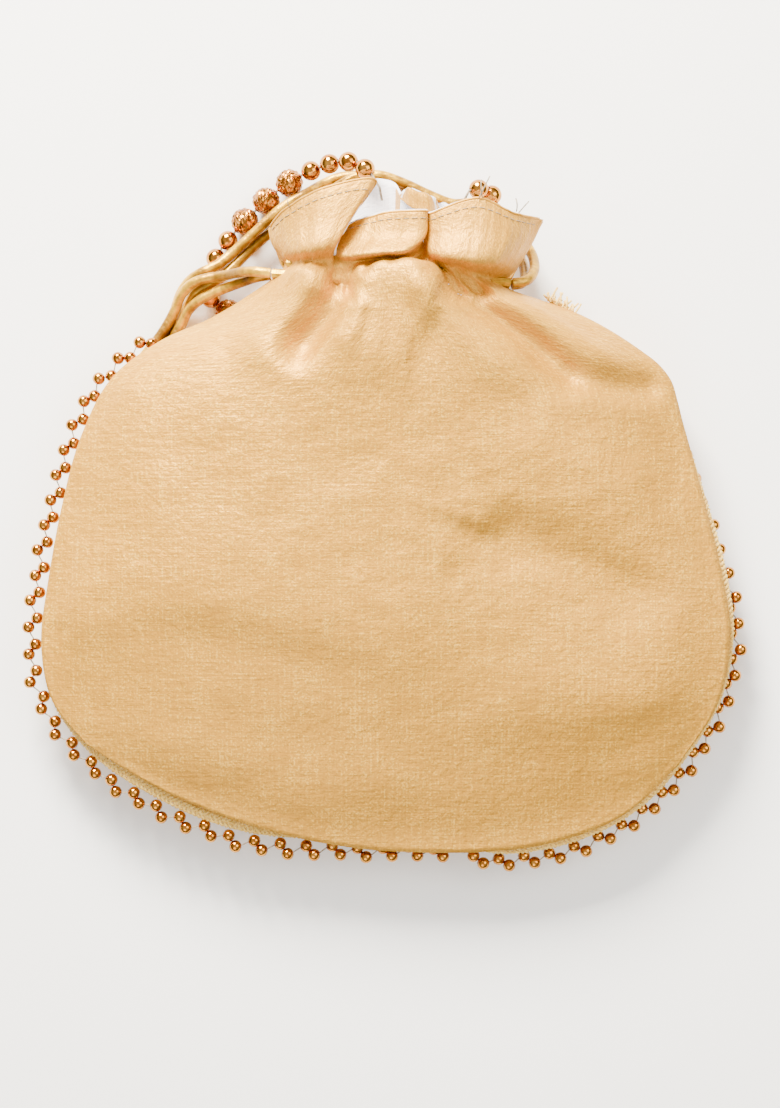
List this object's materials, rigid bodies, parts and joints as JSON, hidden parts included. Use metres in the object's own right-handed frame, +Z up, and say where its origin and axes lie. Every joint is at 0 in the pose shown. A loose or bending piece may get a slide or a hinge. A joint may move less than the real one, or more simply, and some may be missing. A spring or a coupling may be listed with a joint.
{
  "type": "potli bag",
  "caption": "Round silk drawstring pouch with a gathered neck, ruffled lined mouth, bead-edged seam, two satin drawstrings and a strung bead handle, lying flat",
  "frame": {"origin": "centre of the base: the lying pouch without its cords and handle stands on z = 0, with x = 0 and y = 0 at the centre of its box", "axes": "+X across the pouch, +Y from the bottom towards the mouth, +Z up through the back panel"},
  "size_m": [0.23, 0.2323, 0.0435],
  "materials": {
    "silk": "semi-gloss dupion silk with slubs",
    "lining": "matt white cotton lining",
    "braid": "pale yellow twisted braid",
    "satin_cord": "glossy golden satin cord",
    "thread": "grey nylon thread",
    "gold_bead": "metallised copper-gold plastic bead",
    "rose_bead": "metallised rose-gold crinkled plastic bead"
  },
  "bodies": {
    "root": {"back_panel": "silk", "front_panel": "silk", "back_lining": "lining", "front_lining": "lining", "braid_left": "braid", "braid_right": "braid", "edge_beads_left": "gold_bead", "edge_beads_right": "gold_bead", "drawstring_left_in_casing": "satin_cord", "drawstring_right_in_casing": "satin_cord", "drawstring_left_upper_tail": "satin_cord", "drawstring_left_lower_tail": "satin_cord", "drawstring_right_upper_tail": "satin_cord", "drawstring_right_lower_tail": "satin_cord", "drawstring_left_knot": "satin_cord", "drawstring_right_knot": "satin_cord", "handle_thread": "thread", "handle_bead_small_01": "gold_bead", "handle_bead_small_02": "gold_bead", "handle_bead_small_03": "gold_bead", "handle_bead_small_04": "gold_bead", "handle_bead_small_05": "gold_bead", "handle_bead_small_06": "gold_bead", "handle_bead_small_07": "gold_bead", "handle_bead_small_08": "gold_bead", "handle_bead_small_09": "gold_bead", "handle_bead_small_10": "gold_bead", "handle_bead_small_11": "gold_bead", "handle_bead_small_12": "gold_bead", "handle_bead_small_13": "gold_bead", "handle_bead_small_14": "gold_bead", "handle_bead_small_15": "gold_bead", "handle_bead_small_16": "gold_bead", "handle_bead_small_17": "gold_bead", "handle_bead_large_01": "rose_bead", "handle_bead_large_02": "rose_bead", "handle_bead_large_03": "rose_bead", "handle_bead_large_04": "rose_bead", "handle_bead_large_05": "rose_bead", "handle_bead_large_06": "rose_bead", "handle_bead_large_07": "rose_bead", "handle_bead_large_08": "rose_bead", "handle_bead_large_09": "rose_bead"}
  },
  "joints": []
}
